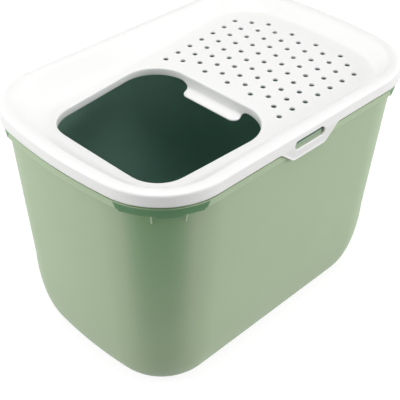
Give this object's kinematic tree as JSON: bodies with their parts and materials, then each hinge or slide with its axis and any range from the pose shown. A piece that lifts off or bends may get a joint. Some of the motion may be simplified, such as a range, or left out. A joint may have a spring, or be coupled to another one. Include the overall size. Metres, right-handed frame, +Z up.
{
  "type": "top entry litter box",
  "caption": "Deep drafted litter tub with a lift-off dished lid that has an entry opening, a perforated tread and two slotted flexing side tabs.",
  "frame": {"origin": "centre of the tub's flat base, on the floor", "axes": "+X along the length, from the entry opening towards the perforated tread, +Y across, +Z up"},
  "size_m": [0.5848, 0.39, 0.395],
  "materials": {
    "tub_green": "satin moulded polypropylene",
    "lid_white": "satin moulded polypropylene"
  },
  "bodies": {
    "tub": {"tub": "tub_green"},
    "lid": {"lid": "lid_white"},
    "front_tab": {"front_tab": "lid_white"},
    "rear_tab": {"rear_tab": "lid_white"}
  },
  "joints": [
    {"name": "lid_lift", "type": "slide", "parent": "tub", "child": "lid", "axis": [0, 0, 1], "range_m": [0, 0.12]},
    {"name": "front_tab_flex", "type": "hinge", "parent": "lid", "child": "front_tab", "pos_m": [0, -0.1918, 0.3882], "axis": [-1, 0, 0], "range_deg": [0, 8]},
    {"name": "rear_tab_flex", "type": "hinge", "parent": "lid", "child": "rear_tab", "pos_m": [0, 0.1918, 0.3882], "axis": [1, 0, 0], "range_deg": [0, 8]}
  ]
}
